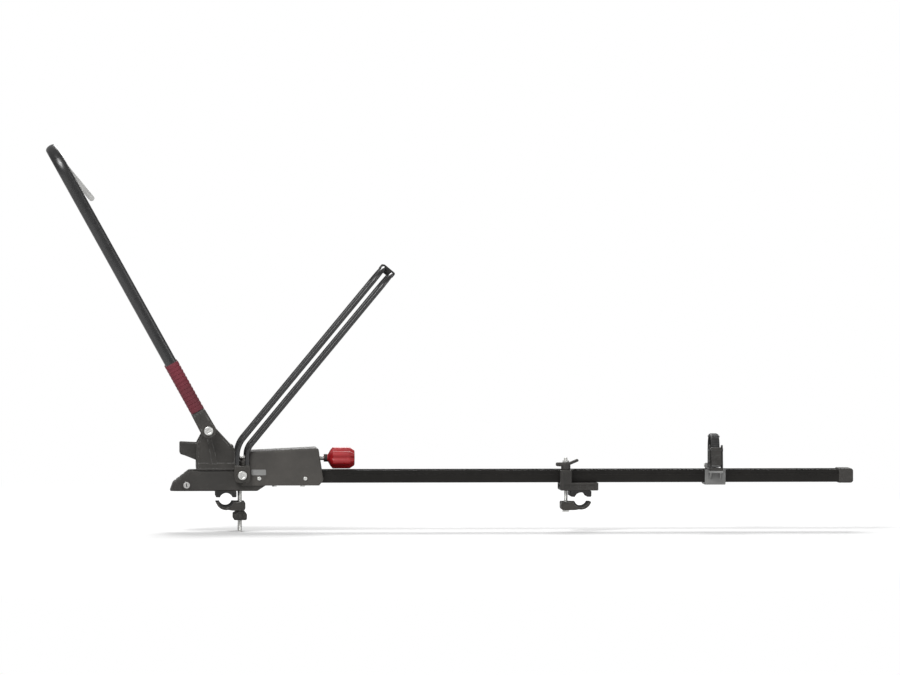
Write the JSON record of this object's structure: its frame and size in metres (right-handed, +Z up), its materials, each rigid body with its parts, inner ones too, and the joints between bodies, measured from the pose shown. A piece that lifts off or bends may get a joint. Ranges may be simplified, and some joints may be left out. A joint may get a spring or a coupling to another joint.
{
  "type": "roof mounted bike carrier",
  "caption": "Upright roof bike carrier: a long wheel tray on crossbar clamps, a head with a cradle and two folding hoops for the front wheel, a tightening knob and a ratchet strap.",
  "frame": {"origin": "on the axis of the front crossbar, in the carrier's middle plane", "axes": "+X to the rear of the carrier along the tray, +Y along the front crossbar, +Z up"},
  "size_m": [1.7206, 0.1906, 0.8237],
  "materials": {
    "tray_black": "black anodised",
    "base_black": "grained, black",
    "cover_grey": "fine grain, charcoal",
    "hoop_black": "satin black powder coat",
    "cast_black": "black coated casting",
    "knob_red": "satin red",
    "sleeve_red": "dull dark red",
    "rubber_black": "matt",
    "guide_grey": "light grey",
    "bright_steel": "zinc plated",
    "nut_brass": "turned",
    "strap_black": "ribbed",
    "saddle_grey": "mid grey"
  },
  "bodies": {
    "root": {"tray": "tray_black", "tray_end_cap": "base_black", "tray_bolts": "bright_steel", "tray_slot_nuts": "bright_steel", "head_base": "base_black", "head_cover": "cover_grey", "cover_screws": "bright_steel", "wheel_cradle": "base_black", "cradle_pad": "rubber_black", "cradle_bolts": "bright_steel", "screw_bush": "nut_brass", "rear_hoop_pins": "bright_steel", "front_bar_pads": "rubber_black", "front_clamp_studs": "bright_steel", "lock_sleeve": "bright_steel"},
    "carriage": {"carriage": "cast_black", "carriage_nut": "nut_brass", "front_hoop_pins": "bright_steel"},
    "tension_knob": {"tension_screw": "bright_steel", "screw_collars": "bright_steel", "tension_knob": "knob_red", "knob_hub": "bright_steel", "knob_plug": "base_black"},
    "front_hoop": {"front_hoop_feet": "cast_black", "front_hoop_tube": "hoop_black", "front_hoop_sleeves": "sleeve_red", "front_hoop_pad": "rubber_black", "tyre_guides": "guide_grey"},
    "rear_hoop": {"rear_hoop_feet": "cast_black", "rear_hoop_rods": "hoop_black", "rear_hoop_pad": "rubber_black"},
    "front_claw_left": {"front_claw_left": "cast_black", "front_claw_liner_left": "rubber_black"},
    "front_claw_right": {"front_claw_right": "cast_black", "front_claw_liner_right": "rubber_black"},
    "hand_knob_left": {"hand_knob_left": "base_black"},
    "hand_knob_right": {"hand_knob_right": "base_black"},
    "rear_clamp": {"rear_clamp_block": "base_black", "rear_bar_pad": "rubber_black", "rear_slot_nut": "bright_steel", "rear_slot_bolt": "bright_steel"},
    "rear_claw": {"rear_claw": "cast_black", "rear_claw_liner": "rubber_black", "rear_draw_bolt": "bright_steel"},
    "rear_lever": {"rear_clamp_lever": "base_black"},
    "strap_slider": {"strap_saddle": "saddle_grey", "strap_anchor_pin": "bright_steel", "ratchet_buckle": "base_black", "buckle_pins": "bright_steel"},
    "strap": {"wheel_strap": "strap_black", "rim_pad": "rubber_black"},
    "buckle_lever": {"buckle_lever": "base_black"},
    "release_tab": {"release_tab": "saddle_grey"},
    "lock": {"lock_core": "bright_steel"}
  },
  "joints": [
    {"name": "carriage_slide", "type": "slide", "parent": "root", "child": "carriage", "axis": [-1, 0, 0], "range_m": [0, 0.025]},
    {"name": "knob_turn", "type": "hinge", "parent": "root", "child": "tension_knob", "pos_m": [0.246, 0, 0.087], "axis": [1, 0, 0], "range_deg": [0, 1800]},
    {"name": "front_hoop_fold", "type": "hinge", "parent": "carriage", "child": "front_hoop", "pos_m": [-0.038, 0, 0.1475], "axis": [0, 1, 0], "range_deg": [0, 120]},
    {"name": "rear_hoop_fold", "type": "hinge", "parent": "root", "child": "rear_hoop", "pos_m": [0.034, 0, 0.052], "axis": [0, 1, 0], "range_deg": [0, 51]},
    {"name": "front_claw_drop_left", "type": "slide", "parent": "root", "child": "front_claw_left", "axis": [0, 0, -1], "range_m": [0, 0.02]},
    {"name": "front_claw_drop_right", "type": "slide", "parent": "root", "child": "front_claw_right", "axis": [0, 0, -1], "range_m": [0, 0.02]},
    {"name": "hand_knob_turn_left", "type": "hinge", "parent": "front_claw_left", "child": "hand_knob_left", "pos_m": [0.03, -0.038, -0.034], "axis": [0, 0, -1], "range_deg": [0, 1440]},
    {"name": "hand_knob_turn_right", "type": "hinge", "parent": "front_claw_right", "child": "hand_knob_right", "pos_m": [0.03, 0.038, -0.034], "axis": [0, 0, -1], "range_deg": [0, 1440]},
    {"name": "rear_clamp_slide", "type": "slide", "parent": "root", "child": "rear_clamp", "axis": [1, 0, 0], "range_m": [-0.02, 0.1]},
    {"name": "rear_claw_drop", "type": "slide", "parent": "rear_clamp", "child": "rear_claw", "axis": [0, 0, -1], "range_m": [0, 0.02]},
    {"name": "rear_lever_turn", "type": "hinge", "parent": "rear_clamp", "child": "rear_lever", "pos_m": [0.723, -0.048, 0.07], "axis": [0, 0, 1], "range_deg": [0, 1440]},
    {"name": "strap_slide", "type": "slide", "parent": "root", "child": "strap_slider", "axis": [1, 0, 0], "range_m": [-0.09, 0.22]},
    {"name": "strap_open", "type": "hinge", "parent": "strap_slider", "child": "strap", "pos_m": [1.043, 0.046, 0.069], "axis": [-1, 0, 0], "range_deg": [0, 110]},
    {"name": "buckle_lever_lift", "type": "hinge", "parent": "strap_slider", "child": "buckle_lever", "pos_m": [1.043, -0.057, 0.104], "axis": [-1, 0, 0], "range_deg": [0, 100]},
    {"name": "release_tab_lift", "type": "hinge", "parent": "strap_slider", "child": "release_tab", "pos_m": [1.043, -0.056, 0.081], "axis": [-1, 0, 0], "range_deg": [0, 20], "stiffness_Nm_per_rad": 0.05},
    {"name": "lock_turn", "type": "hinge", "parent": "root", "child": "lock", "pos_m": [-0.084, -0.045, 0.031], "axis": [0, 1, 0], "range_deg": [0, 90]}
  ],
  "couplings": [
    {"joint": "knob_turn", "follows": "carriage_slide", "rad_per_m": 1256.6},
    {"joint": "hand_knob_turn_left", "follows": "front_claw_drop_left", "rad_per_m": 1256.6},
    {"joint": "hand_knob_turn_right", "follows": "front_claw_drop_right", "rad_per_m": 1256.6},
    {"joint": "rear_lever_turn", "follows": "rear_claw_drop", "rad_per_m": 1256.6}
  ]
}
